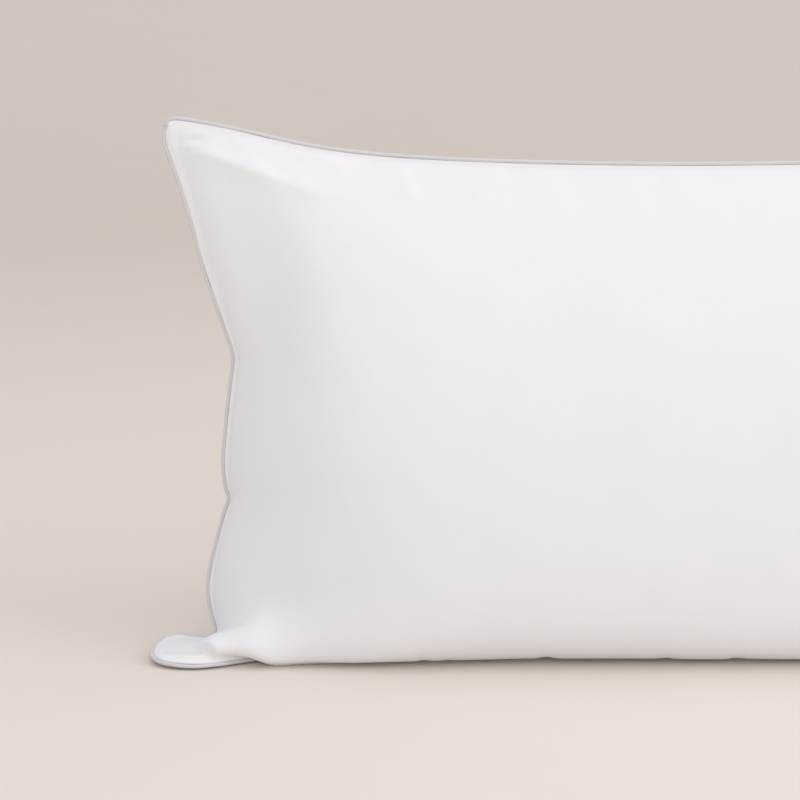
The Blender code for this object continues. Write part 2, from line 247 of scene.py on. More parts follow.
# Gathers along the belly's foot: place along, height and width
FLOOR_GATHERS = [
    (-0.2184, 0.0022, 0.0040),
    (-0.1956, 0.0014, 0.0030),
    (-0.1094, 0.0030, 0.0055),
    (-0.0022, 0.0020, 0.0045),
    (0.0602, 0.0024, 0.0050),
    (0.1450, 0.0018, 0.0045),
    (0.2480, 0.0026, 0.0050),
]
GATHER_REACH = 0.011

# Threads and ribs of the fabrics, from one to the next
WARP_PITCH = 0.00052
WEFT_PITCH = 0.00058
RIB_PITCH = 0.0006
THREAD_PITCH = 0.0005
CORD_PITCH = 0.0016

# The stage's reach, height, curve and colours
STAGE_NEAR = -14.0
STAGE_FAR = 6.5
STAGE_SIDE = 14.0
STAGE_TALL = 7.0
STAGE_CURVE = 2.8
PAPER_DARK = (0.765, 0.690, 0.622, 1)
PAPER_LIGHT = (0.785, 0.710, 0.642, 1)
# Lamps: name, place, size, power and colour. Each faces the middle of the pillow.
LAMPS = [
    ("side", (4.6, -1.6, 2.2), 3.0, 80, (1.0, 0.99, 0.985)),
    ("top", (0.2, 0.0, 2.6), 2.0, 10, (0.95, 0.965, 1.0)),
    ("front", (-0.4, -3.7, 1.6), 2.2, 20, (1.0, 0.985, 0.98)),
]
LAMPS_FACE = (0, 0, 0.22)
SKY_COLOUR = (0.985, 0.98, 1.0, 1)
SKY_STRENGTH = 0.79
LENS = 85
CAMERA_TARGET = (-0.2395, 0, 0.2288)
CAMERA_TILT = math.radians(11)
CAMERA_DISTANCE = 1.696

# Waypoints of the seam, close to the CAD model's. Side seams: inset from the panel's end, y, z
# and roll in degrees. Bottom seam: x, and the same.
LEFT_SEAM = [
    (0.0121, 0.0250, 0.4692, 0),
    (0.0108, 0.0250, 0.4635, 0),
    (0.0122, 0.0245, 0.4530, 0),
    (0.0204, 0.0235, 0.4293, 0),
    (0.0314, 0.0215, 0.3940, 0),
    (0.0420, 0.0195, 0.3520, 0),
    (0.0520, 0.0175, 0.3210, 0),
    (0.0640, 0.0145, 0.2860, 0),
    (0.0697, 0.0130, 0.2660, 0),
    (0.0666, 0.0125, 0.2402, 0),
    (0.0625, 0.0110, 0.2050, 0),
    (0.0594, 0.0095, 0.1700, 0),
    (0.0612, 0.0088, 0.1465, 0),
    (0.0644, 0.0082, 0.1370, 1),
    (0.0590, 0.0080, 0.1200, 5),
    (0.0520, 0.0080, 0.0950, 12),
    (0.0450, 0.0080, 0.0660, 20),
    (0.0435, 0.0070, 0.0440, 27),
    (0.0475, 0.0030, 0.0250, 36),
    (0.0510, -0.0070, 0.0135, 46),
    (0.0430, -0.0150, 0.0100, 55),
    (0.0290, -0.0160, 0.0105, 61),
    (0.0145, -0.0150, 0.0120, 64),
    (0.0020, -0.0220, 0.0095, 64),
    (-0.0020, -0.0380, 0.0076, 63),
]
BOTTOM_SEAM = [
    (-0.4575, -0.0530, 0.0066, 60),
    (-0.4500, -0.0640, 0.0062, 56),
    (-0.4360, -0.0705, 0.0060, 50),
    (-0.4180, -0.0715, 0.0058, 43),
    (-0.4000, -0.0660, 0.0056, 36),
    (-0.3800, -0.0560, 0.0054, 29),
    (-0.3520, -0.0440, BOTTOM_SEAM_HEIGHT, 22),
    (-0.3100, -0.0320, BOTTOM_SEAM_HEIGHT, 14),
    (-0.2450, -0.0220, BOTTOM_SEAM_HEIGHT, 6),
    (-0.1500, BOTTOM_SEAM_Y - 0.001, BOTTOM_SEAM_HEIGHT, 2),
    (-0.0600, BOTTOM_SEAM_Y, BOTTOM_SEAM_HEIGHT, 0),
    (0.0600, BOTTOM_SEAM_Y, BOTTOM_SEAM_HEIGHT, 0),
    (0.2000, BOTTOM_SEAM_Y, BOTTOM_SEAM_HEIGHT, 0),
    (0.3300, BOTTOM_SEAM_Y + 0.001, 0.0056, 0),
    (0.4000, BOTTOM_SEAM_Y + 0.003, 0.0070, 0),
    (0.4300, BOTTOM_SEAM_Y + 0.004, 0.0095, 0),
]
RIGHT_SEAM = [
    (0.0070, -0.009, 0.0150, 0),
    (-0.0012, -0.008, 0.0270, 0),
    (0.0024, -0.007, 0.0480, 0),
    (0.0190, -0.005, 0.0850, 0),
    (0.0340, -0.002, 0.1280, 0),
    (0.0430, 0.002, 0.1760, 0),
    (0.0440, 0.006, 0.2180, 0),
    (0.0480, 0.010, 0.2560, 0),
    (0.0450, 0.014, 0.2950, 0),
    (0.0350, 0.018, 0.3400, 0),
    (0.0210, 0.021, 0.3850, 0),
    (0.0054, 0.024, 0.4260, 0),
    (-0.0012, 0.025, 0.4480, 0),
    (0.0042, 0.025, 0.4640, 0),
]
# The top ears, each as two bells of the top seam: rise and reach
LEFT_EAR_RISE = ((0.0275, 0.115), (0.0145, 0.265))
RIGHT_EAR_RISE = ((0.0200, 0.095), (0.0135, 0.250))
TOP_SEAM_FROM = 0.018
TOP_SEAM_STEP = 0.044


# ---------- the seam


def top_seam_height(x):
    half = PANEL_LENGTH / 2
    left = sum(rise * math.exp(-(((x + half) / reach) ** 2)) for rise, reach in LEFT_EAR_RISE)
    right = sum(rise * math.exp(-(((half - x) / reach) ** 2)) for rise, reach in RIGHT_EAR_RISE)
    return TOP_SEAM_HEIGHT + left + right


def seam_waypoints():
    """The closed seam's waypoints, and the index of each of the panel's four corners."""
    half = PANEL_LENGTH / 2
    left = [(inset - half, y, z, roll) for inset, y, z, roll in LEFT_SEAM]
    right = [(half - inset, y, z, roll) for inset, y, z, roll in RIGHT_SEAM]
    count = round((PANEL_LENGTH - 2 * TOP_SEAM_FROM) / TOP_SEAM_STEP)
    span = half - TOP_SEAM_FROM
    xs = [span - 2 * span * k / count for k in range(count + 1)]
    top = [(x, TOP_SEAM_Y, top_seam_height(x), 0) for x in xs]
    bottom_start = len(left)
    right_start = bottom_start + len(BOTTOM_SEAM)
    right_end = right_start + len(right) - 1
    return np.array(left + BOTTOM_SEAM + right + top), (0, bottom_start, right_start, right_end)


def catmull_rom(a, b, c, d, t):
    """From b at t = 0 to c at t = 1, smoothly past a and d."""
    bend, twist = 2 * a - 5 * b + 4 * c - d, 3 * b - a - 3 * c + d
    return 0.5 * (2 * b + (c - a) * t + bend * t**2 + twist * t**3)


def rolled(degrees):
    """The front direction of a seam rolled by each angle: 0 faces forward, 90 faces up."""
    roll = np.radians(degrees)
    return np.stack([np.zeros_like(roll), -np.cos(roll), np.sin(roll)], axis=1)


def seam_side(points, first, last, shares):
    """Rows at shares of the way along the closed Catmull-Rom spline between two waypoints."""
    count, steps_between = len(points), 24
    span = (last - first) % count or count
    steps = np.linspace(0, 1, steps_between, endpoint=False)[:, None]
    fine = []
    for k in range(span):
        around = (points[(first + k + step) % count] for step in (-1, 0, 1, 2))
        fine.append(catmull_rom(*around, steps))
    fine = np.vstack(fine + [points[last % count][None]])
    return resample(fine, shares)


def distances(rows):
    """How far along a line of rows each row is. A row's first three numbers are its place."""
    return np.concatenate([[0], np.cumsum(np.linalg.norm(np.diff(rows[:, :3], axis=0), axis=1))])


def resample(rows, shares):
    """Rows at the given shares of the distance along a line of rows."""
    along = distances(rows)
    return np.stack([np.interp(shares * along[-1], along, column) for column in rows.T], axis=1)


def even(cells):
    return np.linspace(0, 1, cells + 1)


def crowded(cells, crowding):
    """Shares from 0 to 1, closer together at both ends. crowding 0 is even, 1 is a cosine."""
    return (1 - crowding) * even(cells) + crowding * (1 - np.cos(np.pi * even(cells))) / 2


def unit(vectors):
    return vectors / np.maximum(np.linalg.norm(vectors, axis=-1, keepdims=True), 1e-12)


class Seam:
    """Evenly spaced stations round the seam, with the outward and front directions of each."""

    def __init__(self, along, up):
        points, corners = seam_waypoints()
        self.sides = []
        for side, shares in enumerate((up, along, up, along)):
            self.sides.append(seam_side(points, corners[side], corners[(side + 1) % 4], shares))
        rows = np.vstack([side[:-1] for side in self.sides])
        self.point = rows[:, :3]
        tangent = unit(np.roll(self.point, -1, axis=0) - np.roll(self.point, 1, axis=0))
        front = rolled(rows[:, 3])
        self.front = unit(front - tangent * np.sum(front * tangent, axis=1, keepdims=True))
        self.out = np.cross(tangent, self.front)
        self.along = distances(np.vstack([rows, rows[:1]]))

    def at(self, out, front):
        return self.point + self.out * out + self.front * front


def ring(cells_along, cells_up):
    """Grid corners round the panel's edge, in the seam's station order."""
    corners = [(0, j) for j in range(cells_up, 0, -1)]
    corners += [(i, 0) for i in range(cells_along)]
    corners += [(cells_along, j) for j in range(cells_up)]
    corners += [(i, cells_up) for i in range(cells_along, 0, -1)]
    return corners


# ---------- the filled shape


def fade(distance, reach):
    return (1 + np.cos(np.pi * np.minimum(1, distance / reach))) / 2


def start_shape(seam):
    """Front and back faces as grids of places, from the CAD model's own rule."""
    along = np.linspace(0, 1, CELLS_ALONG + 1)[:, None, None]
    up = np.linspace(0, 1, CELLS_UP + 1)[None, :, None]
    # More rows near the bottom, where the faces turn under, then evened out by distance
    up = up**ROWS_LOW
    rise = TOP_SEAM_HEIGHT - BOTTOM_SEAM_HEIGHT
    run = TOP_SEAM_Y - BOTTOM_SEAM_Y
    lean = math.atan2(run, rise)

    def base(u, v):
        shape = np.broadcast(u, v).shape[:-1] + (1,)
        x = (u - 0.5) * PANEL_LENGTH * np.ones(shape)
        y = (BOTTOM_SEAM_Y + run * v) * np.ones(shape)
        z = (BOTTOM_SEAM_HEIGHT + rise * v) * np.ones(shape)
        return np.concatenate([x, y, z], axis=-1)

    lean_front = np.array([0, -math.cos(lean), math.sin(lean)])

    def side_change(side, flip, u, v, at):
        """How the seam along one side differs from the base, at the grid's own shares."""
        rows = seam.sides[side][::-1] if flip else seam.sides[side]
        shares = np.linspace(0, 1, len(rows))
        rows = np.stack([np.interp(at.ravel(), shares, column) for column in rows.T], axis=1)
        place = rows[:, :3].reshape(base(u, v).shape)
        turn = (rolled(rows[:, 3]) - lean_front).reshape(place.shape)
        return np.concatenate([place - base(u, v), turn], axis=-1)

    zero, one = np.zeros((1, 1, 1)), np.ones((1, 1, 1))
    left = side_change(0, True, zero, up, up)
    bottom = side_change(1, False, along, zero, along)
    right = side_change(2, False, one, up, up)
    top = side_change(3, True, along, one, along)
    near_left = fade(along * PANEL_LENGTH, SIDE_REACH)
    near_right = fade((1 - along) * PANEL_LENGTH, SIDE_REACH)
    near_bottom = fade(up * PANEL_HEIGHT, EDGE_REACH)
    near_top = fade((1 - up) * PANEL_HEIGHT, EDGE_REACH)
    change = near_left * left + near_right * right + near_bottom * bottom + near_top * top
    for beside, rows in ((near_left, left), (near_right, right)):
        change = change - beside * (near_bottom * rows[:, :1] + near_top * rows[:, -1:])
    middle = base(along, up) + change[..., :3]
    front = unit(lean_front + change[..., 3:])

    from_end = np.minimum(along, 1 - along) * PANEL_LENGTH
    end = np.sqrt(1 - np.maximum(0, 1 - from_end / SWELL_WIDTH) ** 2) ** SWELL_POWER
    fullest = FULLNESS_BELOW / (FULLNESS_BELOW + FULLNESS_ABOVE)
    peak = fullest**FULLNESS_BELOW * (1 - fullest) ** FULLNESS_ABOVE
    half = THICKNESS / 2 * end * up**FULLNESS_BELOW * (1 - up) ** FULLNESS_ABOVE / peak
    from_left, from_bottom = along * PANEL_LENGTH / EAR_REACH, up * PANEL_HEIGHT / EAR_REACH
    ear = np.exp(-(from_left**2) - from_bottom**2)
    half = half * (1 - EAR_FLATNESS * ear)

    faces = []
    for side in (1, -1):
        sunk = np.minimum(1, up * PANEL_HEIGHT / SINK_START) * np.maximum(0, 1 - up / SINK_UP_TO)
        sunk = sunk * np.minimum(1, half / SINK_THINNEST)
        if side > 0:
            sunk = sunk * np.clip((along * PANEL_LENGTH - SINK_FROM) / SINK_WIDTH, 0, 1)
        face = middle + front * side * half
        face[..., 2] = np.maximum(FABRIC, face[..., 2] - SINK * sunk[..., 0])
        faces.append(evened(face))
    return faces


def evened(face, rounds=3):
    """The grid slid over its own surface until its rows are evenly spaced both ways."""
    for _ in range(rounds):
        face = np.stack([resample(column, even(CELLS_UP)) for column in face])
        rows = [resample(face[:, j], even(CELLS_ALONG)) for j in range(CELLS_UP + 1)]
        face = np.stack(rows, axis=1)
    return face


def grid_quads(cells_along, cells_up, index, flip):
    quads = []
    for i in range(cells_along):
        for j in range(cells_up):
            quad = [index(i, j), index(i + 1, j), index(i + 1, j + 1), index(i, j + 1)]
            quads.append(quad[::-1] if flip else quad)
    return quads


def simulate(front, back, seam):
    """The two faces as one closed cloth, cut flat, held at the seam and filled."""
    across, tall = CELLS_ALONG + 1, CELLS_UP + 1
    edge = ring(CELLS_ALONG, CELLS_UP)
    for face in (front, back):
        for k, (i, j) in enumerate(edge):
            face[i, j] = seam.point[k]
    on_edge = set(edge)
    inner = [(i, j) for i in range(across) for j in range(tall) if (i, j) not in on_edge]
    back_index = {corner: across * tall + k for k, corner in enumerate(inner)}
    places = [front[i, j] for i in range(across) for j in range(tall)]
    places += [back[i, j] for i, j in inner]
    quads = grid_quads(CELLS_ALONG, CELLS_UP, lambda i, j: i * tall + j, False)

    def behind(i, j):
        return back_index.get((i, j), i * tall + j)

    quads += grid_quads(CELLS_ALONG, CELLS_UP, behind, True)
    mesh = bpy.data.meshes.new("cover_cloth")
    mesh.from_pydata([tuple(p) for p in places], [], quads)
    cloth = bpy.data.objects.new("cover_cloth", mesh)
    bpy.context.scene.collection.objects.link(cloth)
    cloth.shape_key_add(name="Basis")
    flat = cloth.shape_key_add(name="flat")
    corners = [(i, j) for i in range(across) for j in range(tall)] + inner
    for k, (i, j) in enumerate(corners):
        layer = FABRIC if k >= across * tall else -FABRIC
        flat.data[k].co = (i / CELLS_ALONG * CUT_LENGTH, layer, j / CELLS_UP * CUT_HEIGHT)
    held = cloth.vertex_groups.new(name="seam")
    held.add([i * tall + j for i, j in edge], 1.0, "REPLACE")

    floor_mesh = bpy.data.meshes.new("cloth_floor")
    signs = ((-1, -1), (1, -1), (1, 1), (-1, 1))
    patch = [(x * FLOOR_REACH, y * FLOOR_REACH, 0) for x, y in signs]
    floor_mesh.from_pydata(patch, [], [(0, 1, 2, 3)])
    ground = bpy.data.objects.new("cloth_floor", floor_mesh)
    bpy.context.scene.collection.objects.link(ground)
    ground.modifiers.new("ground", "COLLISION")
    ground.collision.thickness_outer = 0.001

    modifier = cloth.modifiers.new("cloth", "CLOTH")
    settings = modifier.settings
    for key, value in CLOTH.items():
        setattr(settings, key, value)
    settings.rest_shape_key = flat
    settings.effector_weights.gravity = CLOTH_GRAVITY
    modifier.collision_settings.use_collision = True
    modifier.collision_settings.distance_min = 0.001
    modifier.collision_settings.collision_quality = 2
    modifier.point_cache.frame_start = 1
    modifier.point_cache.frame_end = FRAMES
    for number in range(1, FRAMES + 1):
        bpy.context.scene.frame_set(number)
    evaluated = cloth.evaluated_get(bpy.context.evaluated_depsgraph_get())
    moved = np.array([vertex.co[:] for vertex in evaluated.to_mesh().vertices])
    evaluated.to_mesh_clear()
    bpy.context.scene.frame_set(1)
    for used in (cloth, ground):
        bpy.data.objects.remove(used)
    front = moved[: across * tall].reshape(across, tall, 3)
    back = front.copy()
    for corner, k in back_index.items():
        back[corner] = moved[k]
    return front, back


def capped(new, old, most):
    """new, but no point further than most from where it was in old."""
    move = new - old
    far = np.linalg.norm(move, axis=-1, keepdims=True)
    return old + move * np.minimum(1, most / np.maximum(far, 1e-9))


def finer(grid, along, up):
    """A grid of places read at other shares, by Catmull-Rom curves both ways."""
    for shares in (along, up):
        cells = len(grid) - 1
        ends = np.concatenate([[2 * grid[0] - grid[1]], grid, [2 * grid[-1] - grid[-2]]])
        k = np.minimum((shares * cells).astype(int), cells - 1)
        t = (shares * cells - k)[:, None, None]
        grid = catmull_rom(*(ends[k + step] for step in range(4)), t)
        grid = grid.transpose(1, 0, 2)
    return grid


def smoothed(grid, passes):
    """The same grid, changed: each inner place goes halfway to the mean of its neighbours."""
    for _ in range(passes):
        beside = grid[2:, 1:-1] + grid[:-2, 1:-1] + grid[1:-1, 2:] + grid[1:-1, :-2]
        grid[1:-1, 1:-1] = (grid[1:-1, 1:-1] + beside / 4) / 2
    return grid


def normals(grid, side):
    """Outward normals of a face's grid. side is 1 on the front and -1 on the back."""
    across, upward = np.gradient(grid, axis=0), np.gradient(grid, axis=1)
    return unit(np.cross(across, upward)) * side


# ---------- small shapes in the cloth


def rough(places, scale, seed):
    """Smooth noise from -1 to 1 at each place, with bumps about scale metres apart."""
    shift = Vector((seed * 17.3, seed * 5.1, seed * 9.7))
    flat = places.reshape(-1, places.shape[-1]) / scale
    values = [noise.noise(Vector(place) + shift) for place in flat]
    return np.array(values).reshape(places.shape[:-1])


def bell(value, middle, width):
    return np.exp(-(((value - middle) / width) ** 2))


def roof(distance, round_off, reach):
    """A fold's section: a rounded ridge at 0 that falls away on both sides."""
    return np.exp(-np.sqrt(distance**2 + round_off**2) / reach)


def grown(distance, reach):
    """0 on the seam, growing to 1 further into the panel."""
    return 1 - np.exp(-distance / reach)


def ramp(value, start, end):
    share = np.clip((value - start) / (end - start), 0, 1)
    return share * share * (3 - 2 * share)


def cloth_detail(x, z, side):
    """How far the cloth stands out of its simulated shape, at places on the flat panel: lumps in
    the filling, puckers the stitching draws in, pinches in the side seam, creases by the ears."""
    cut = np.stack([x, z, np.full_like(x, 0.4 * side)], axis=-1)
    from_left, from_right = x, PANEL_LENGTH - x
    from_bottom, from_top = z, PANEL_HEIGHT - z
    free = 1 - bell(np.minimum(from_left, from_right), 0, LUMPS_FROM)
    free = free * (1 - bell(np.minimum(from_bottom, from_top), 0, LUMPS_FROM))

    depth = np.zeros_like(x)
    for seed, (height, spacing, at_seam) in enumerate(LUMPS, 1):
        depth += height * rough(cut, spacing, seed) * (1 if at_seam else free)

    # Puckers: ripples along the seam that die out into the panel
    for distance, along, seed in (
        (from_left, z, 4), (from_right, z, 5), (from_bottom, x, 6), (from_top, x, 7)
    ):
        layer = np.full_like(along, seed + side * 0.3)
        line = np.stack([along, distance * PUCKER_STRETCH, layer], axis=-1)
        for height, spacing, reach, start, shift in PUCKERS:
            fall = np.exp(-distance / reach) * grown(distance, start)
            depth += height * rough(line, spacing, seed + shift) * fall

    # Soft creases slanting away from the top seam, leaning out of each ear
    for place, slope, height in TOP_CREASES:
        for from_end, shift in ((from_left, 1), (from_right, CREASE_RIGHT_SHIFT)):
            off = from_end - place * shift - slope * from_top
            falls = bell(from_top, CREASE_DOWN, CREASE_SPREAD) * ramp(-off, *CREASE_FADE)
            share = 1.0 if side > 0 else CREASE_BACK_SHARE
            depth += height * roof(off, CREASE_ROUND, CREASE_REACH) * falls * share
    if side < 0:
        return depth
    # Pinches where the left seam kinks in, and at its foot where the ear turns forward
    for height, pull, reach in SIDE_PINCHES:
        beside = np.exp(-from_left / reach) * grown(from_left, PINCH_FROM)
        fan = z - height + PINCH_SLOPE * from_left
        cuff = PINCH_CUFF * bell(fan, *PINCH_CUFF_UP)
        depth -= pull * beside * (roof(fan, PINCH_ROUND, PINCH_WIDTH) - cuff)
    # The top ear: a ridge from its tip down to the belly, thin and flat below it
    off_ridge = from_top - RIDGE_DOWN - RIDGE_SLOPE * from_left + RIDGE_BEND * from_left**2
    ridge = (1 - bell(from_left, 0, RIDGE_FROM)) * np.exp(-((from_left / RIDGE_TO) ** 4))
    depth += RIDGE_HEIGHT * roof(off_ridge, RIDGE_ROUND, RIDGE_REACH) * ridge
    depth -= HOLLOW_DEPTH * bell(from_left, *HOLLOW_ALONG) * bell(from_top, *HOLLOW_DOWN)
    # A dip and crinkles inside the ear's tip
    tip = bell(from_left, *TIP_ALONG) * bell(from_top, *TIP_DOWN)
    depth -= TIP_DIP * tip
    crinkles = np.sin((from_top + CRINKLE_SLOPE * from_left) / CRINKLE_PITCH * math.tau)
    depth += CRINKLE_HEIGHT * tip * crinkles
    return depth


def ear_fold(face, edge):
    """Rolls the belly's foot forward and over the slipped ear, along a line on the floor."""
    foot = bell(face[..., 0], *FOOT_ALONG) * bell(face[..., 2], 0, FOOT_HEIGHT)
    foot = foot * grown(edge, FOOT_FROM)
    face[..., 1] -= FOOT_FORWARD * foot
    face[..., 2] -= FOOT_DOWN * foot

    dip = bell(face[..., 0], *DIP_ALONG) * bell(face[..., 1], *DIP_ACROSS)
    dip = dip * np.exp(-((face[..., 2] / LOW_DOWN) ** 4)) * grown(edge, DIP_FROM)
    face[..., 2] -= DIP_DEPTH * dip

    start, end = np.array(EAR_FOLD_START), np.array(EAR_FOLD_END)
    length = np.linalg.norm(end - start)
    way = (end - start) / length
    inward = np.array([-way[1], way[0]])
    along = (face[..., :2] - start) @ way
    off = (face[..., :2] - start) @ inward
    step = ramp(off, *EAR_FOLD_RISE) * np.exp(-np.maximum(off - EAR_FOLD_TOP, 0) / EAR_FOLD_FALL)
    fade_out = 1 - ramp(along, length, length + EAR_FOLD_FADE_OUT)
    step = step * ramp(along, *EAR_FOLD_FADE_IN) * fade_out
    step = step * bell(face[..., 2], 0, LOW_DOWN) * grown(edge, EAR_FOLD_FROM)
    lean = np.array([-EAR_FOLD_LEAN * inward[0], -EAR_FOLD_LEAN * inward[1], 1.0])
    return face + (EAR_FOLD_HEIGHT * step)[..., None] * lean


def floor_gathers(face):
    """Small gathers where the belly meets the floor: the cloth lifts off it in narrow nicks."""
    near = bell(face[..., 2], 0, GATHER_REACH) * (face[..., 1] < BOTTOM_SEAM_Y)
    for x, height, width in FLOOR_GATHERS:
        face[..., 2] += height * bell(face[..., 0], x, width) * near
    return face


def shaped(face, side, flat, edge):
    """A simulated face with its small shapes, read at the finished panel's grid."""
    face = face + normals(face, side) * cloth_detail(flat[..., 0], flat[..., 1], side)[..., None]
    calm = bell(flat[..., 0], 0.0, CALM_REACH) * bell(flat[..., 1], 0.0, CALM_REACH)
    face = face + (smoothed(face.copy(), CALM_PASSES) - face) * calm[..., None]
    if side > 0:
        face = floor_gathers(ear_fold(face, edge))
    face[..., 2] = np.maximum(face[..., 2], FABRIC / 2)
    return face


def parted(front, back, edge):
    """The front face, pushed clear of the back one where the ears are thin."""
    out = normals(front, 1)
    gap = np.sum((front - back) * out, axis=-1)
    least = LEAST_GAP * grown(edge, LEAST_GAP_REACH)
    push = smoothed(np.maximum(0, least - gap), LEAST_GAP_PASSES)
    return front + out * push[..., None]


# ---------- meshes


def make_piece(name, places, faces, look, spots=None):
    """A mesh object with smooth shading, one material and, from spots, a UV map in metres."""
    mesh = bpy.data.meshes.new(name)
    mesh.from_pydata([tuple(place) for place in places], [], faces)
    if spots is not None:
        layer = mesh.uv_layers.new(name="cut")
        corners = np.empty(len(mesh.loops), dtype=int)
        mesh.loops.foreach_get("vertex_index", corners)
        layer.data.foreach_set("uv", np.asarray(spots)[corners].ravel())
    mesh.shade_smooth()
    mesh.materials.append(look)
    made = bpy.data.objects.new(name, mesh)
    bpy.context.scene.collection.objects.link(made)
    return made


def make_closed(name, places, faces, look, spots=None):
    """A closed piece, with every face turned outward."""
    piece = make_piece(name, places, faces, look, spots)
    work = bmesh.new()
    work.from_mesh(piece.data)
    if work.calc_volume(signed=True) < 0:
        bmesh.ops.reverse_faces(work, faces=work.faces[:])
    work.to_mesh(piece.data)
    work.free()
    return piece


def strips(size, rows, closed, wrap):
    """Quads joining rows of a section of the given size. wrap closes the section itself, and
    an open run of closed sections has its two ends capped."""
    faces = []
    for k in range(rows if closed else rows - 1):
        here, there = k * size, (k + 1) % rows * size
        for row in range(size if wrap else size - 1):
            after = (row + 1) % size
            faces.append((here + row, here + after, there + after, there + row))
    if wrap and not closed:
        faces.append(tuple(range(size))[::-1])
        faces.append(tuple(range((rows - 1) * size, rows * size)))
    return faces


def nearest_station(flat):
    """For each place on the flat panel's grid, the seam station straight out from it."""
    across, tall = flat.shape[0] - 1, flat.shape[1] - 1
    i, j = np.meshgrid(np.arange(across + 1), np.arange(tall + 1), indexing="ij")
    x, z = flat[..., 0], flat[..., 1]
    which = np.argmin([x, z, PANEL_LENGTH - x, PANEL_HEIGHT - z], axis=0)
    stations = np.choose(which, [tall - j, tall + i, tall + across + j, 2 * (tall + across) - i])
    return stations % (2 * (tall + across))


def near_seam(flat, reach):
    """1 on the seam and falling away inward, with no ridge along the corners' diagonals."""
    across = np.minimum(flat[..., 0], PANEL_LENGTH - flat[..., 0])
    up = np.minimum(flat[..., 1], PANEL_HEIGHT - flat[..., 1])
    return 1 - grown(across, reach) * grown(up, reach)


def cover_panel(name, face, side, seam, flat, edge, look):
    """One fabric panel: outer and inner surface, the fold at the seam and the turned-in edge."""
    lift = FACE_AT_FOLD * near_seam(flat, FOLD_REACH) + FABRIC / 2
    outer = face + normals(face, side) * lift[..., None]
    # Beside the seam the cloth leaves along the seam's own plane
    station = nearest_station(flat)
    leaving = seam.point[station] - seam.out[station] * edge[..., None]
    leaving = leaving + seam.front[station] * side * (FACE_AT_FOLD + LEAVING_RISE * edge)[..., None]
    beside = bell(edge, 0, LEAVING_REACH)[..., None]
    outer = outer + (leaving - outer) * beside
    outer[..., 2] = np.maximum(outer[..., 2], 0.0)
    inner = outer - normals(outer, side) * FABRIC
    inner[..., 2] = np.maximum(inner[..., 2], FABRIC * 0.9)

    across, tall = outer.shape[:2]
    around = ring(across - 1, tall - 1)
    section = [
        (0.0, FACE_AT_FOLD),
        (FOLD_STEP, FACE_AT_FOLD - 0.3 * FABRIC),
        (FOLD_OUT, FACE_AT_FOLD - FABRIC),
        (FOLD_OUT, ALLOWANCE_LOW + 0.2 * FABRIC),
        (FOLD_FOOT, ALLOWANCE_LOW),
        (-SEAM_ALLOWANCE, ALLOWANCE_LOW),
        (-SEAM_ALLOWANCE, ALLOWANCE_HIGH),
        (FOLD_INNER, ALLOWANCE_HIGH),
        (FOLD_INNER, FACE_AT_FOLD - FABRIC),
    ]
    places = [outer.reshape(-1, 3), inner.reshape(-1, 3)]
    spots = [flat.reshape(-1, 2)] * 2
    band = np.stack([seam.at(n, side * b) for n, b in section], axis=1)
    places.append(band.reshape(-1, 3))
    edge_spots = np.array([flat[corner] for corner in around])
    depths = np.array([n for n, _ in section])
    spots.append((edge_spots[:, None] + depths[None, :, None] * 0.7).reshape(-1, 2))
    size, start = len(section), 2 * across * tall

    # The outer and inner surfaces end on the section's first and last rows
    swap = {}
    for k, (i, j) in enumerate(around):
        rim = i * tall + j
        swap[rim] = start + k * size
        swap[across * tall + rim] = start + k * size + size - 1
    faces = []
    for shift, flip in ((0, side < 0), (across * tall, side > 0)):
        faces += grid_quads(across - 1, tall - 1, lambda i, j: shift + i * tall + j, flip)
    faces = [[swap.get(k, k) for k in face] for face in faces]
    for face in strips(size, len(around), True, False):
        face = [start + k for k in face]
        faces.append(face if side > 0 else face[::-1])
    kept = np.ones(start + size * len(around), dtype=bool)
    kept[list(swap)] = False
    numbers = np.cumsum(kept) - 1
    faces = [[int(numbers[k]) for k in face] for face in faces]
    return make_closed(name, np.vstack(places)[kept], faces, look, np.vstack(spots)[kept])


def swept(name, section, seam, look, wobble):
    """A closed section of (out, front) points swept round the seam, with a wobble of its line."""
    band = np.stack([seam.at(n, b) for n, b in section], axis=1) + wobble[:, None, :]
    girth = distances(np.array(section))
    spots = np.stack(np.broadcast_arrays(seam.along[:-1, None], girth[None, :]), axis=-1)
    rows, size = band.shape[:2]
    faces = strips(size, rows, True, True)
    return make_closed(name, band.reshape(-1, 3), faces, look, spots.reshape(-1, 2))


def arc(radius, start, end, points):
    angles = np.radians(np.linspace(start, end, points))
    return list(zip(PIPING_OFFSET + radius * np.cos(angles), radius * np.sin(angles)))


def piping_section():
    """The bias strip in section: a tube round the cord, and its two flanges in the seam."""
    inner = PIPING_RADIUS - PIPING_WALL
    outside = 180 - math.degrees(math.asin(FLANGE_OUTSIDE / PIPING_RADIUS))
    inside = 180 - math.degrees(math.asin(FLANGE_INSIDE / inner))
    section = [(-SEAM_ALLOWANCE, FLANGE_OUTSIDE)]
    section += arc(PIPING_RADIUS, outside, -outside, 19)
    section += [(-SEAM_ALLOWANCE, -FLANGE_OUTSIDE), (-SEAM_ALLOWANCE, -FLANGE_INSIDE)]
    section += arc(inner, -inside, inside, 13)
    section += [(-SEAM_ALLOWANCE, FLANGE_INSIDE)]
    return section


def piping_wobble(seam, amount):
    """Small drifts of the piping from its line, as hand-guided sewing leaves."""
    line = seam.along[:-1, None] * np.array([1.0, 0.0, 0.0])
    closing = np.minimum(line[:, 0], seam.along[-1] - line[:, 0])
    settle = grown(closing, DRIFT_CLOSING)[:, None]
    outward = rough(line, DRIFT_OUT_PITCH, 31)[:, None] * seam.out
    frontward = rough(line, DRIFT_FRONT_PITCH, 32)[:, None] * seam.front
    return amount * settle * (outward + frontward)


